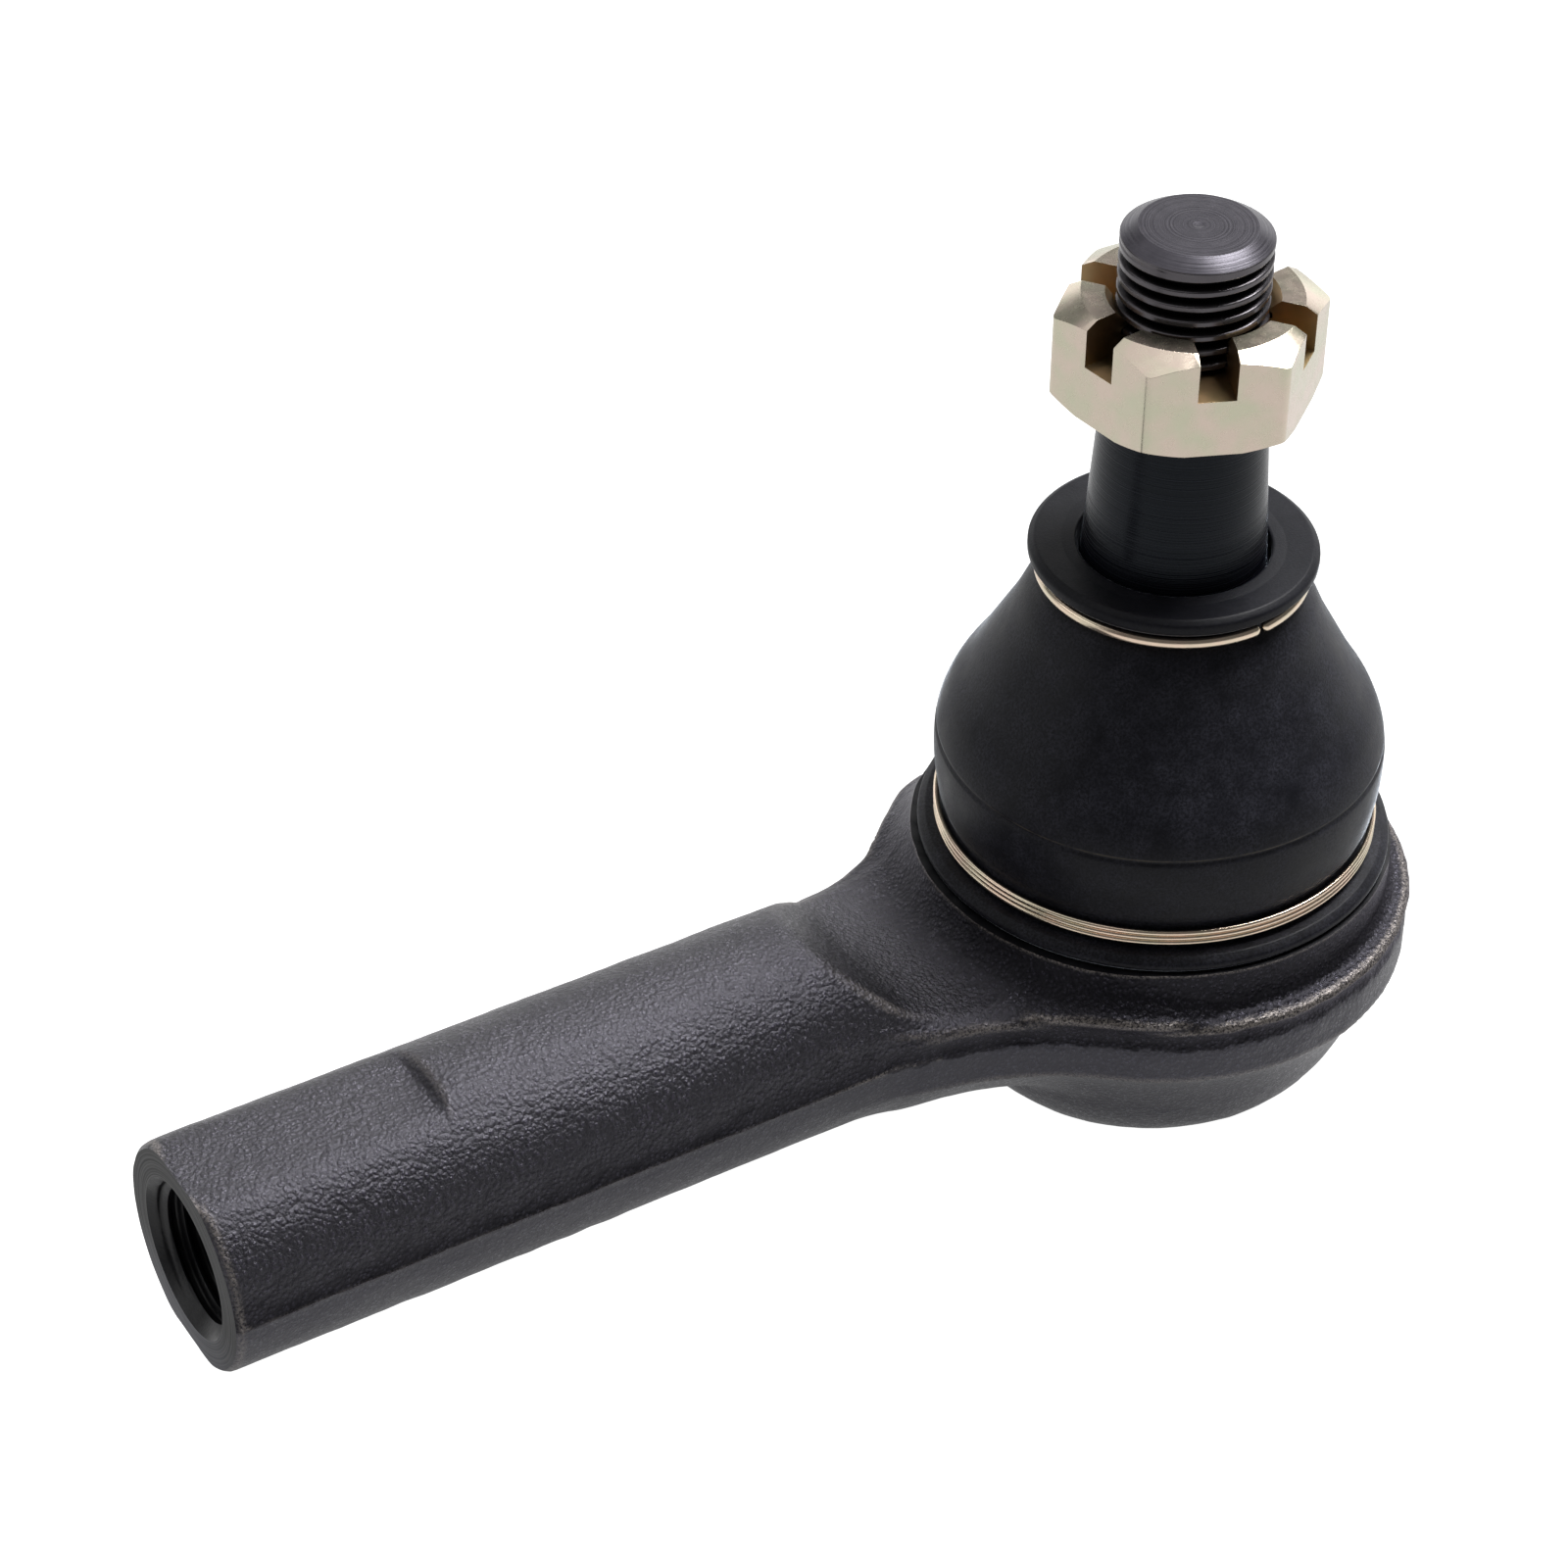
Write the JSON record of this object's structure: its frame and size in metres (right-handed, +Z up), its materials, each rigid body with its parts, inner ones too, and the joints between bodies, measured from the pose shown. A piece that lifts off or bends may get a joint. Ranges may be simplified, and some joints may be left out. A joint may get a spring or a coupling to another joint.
{
  "type": "tie rod end",
  "caption": "Steering tie rod end: a ball stud with castle nut in a forged socket under a rubber boot, on a shank with a female thread.",
  "frame": {"origin": "centre of the socket's flat base, below the ball's centre on the stud's axis", "axes": "+Z up the stud's axis, -X along the shank towards its threaded mouth, Y across"},
  "size_m": [0.1288, 0.0504, 0.0962],
  "materials": {
    "forged_black": "black phosphated forging, coarse pebbled skin, satin",
    "black_oxide_steel": "black oxide over fine turning lines, semi-gloss",
    "yellow_zinc_nut": "pale yellow zinc plating with a faint rainbow tint",
    "boot_rubber": "moulded black rubber, matt with a dusty bloom",
    "ring_wire": "pale zinc-plated spring wire",
    "seat_plastic": "natural acetal, satin",
    "spring_steel": "bare oiled spring steel"
  },
  "bodies": {
    "housing": {"housing": "forged_black", "upper_ball_seat": "seat_plastic", "closing_ring": "spring_steel", "preload_spring": "spring_steel", "boot_lower_ring": "ring_wire"},
    "pressure_cup": {"pressure_cup": "seat_plastic", "dust_boot": "boot_rubber"},
    "boot_neck": {"boot_upper_ring": "ring_wire"},
    "ball_stud": {"ball_stud": "black_oxide_steel"},
    "castle_nut": {"castle_nut": "yellow_zinc_nut"}
  },
  "joints": [
    {"name": "swing_direction", "type": "hinge", "parent": "housing", "child": "pressure_cup", "pos_m": [0, 0, 0.022], "axis": [0, 0, 1], "continuous": true},
    {"name": "stud_tilt", "type": "hinge", "parent": "pressure_cup", "child": "boot_neck", "pos_m": [0, 0, 0.022], "axis": [0, 1, 0], "range_deg": [-22, 22], "deforming": ["dust_boot"]},
    {"name": "stud_spin", "type": "hinge", "parent": "boot_neck", "child": "ball_stud", "pos_m": [0, 0, 0.022], "axis": [0, 0, 1], "continuous": true},
    {"name": "nut_travel", "type": "slide", "parent": "ball_stud", "child": "castle_nut", "axis": [0, 0, 1], "range_m": [0, 0.0165]}
  ]
}
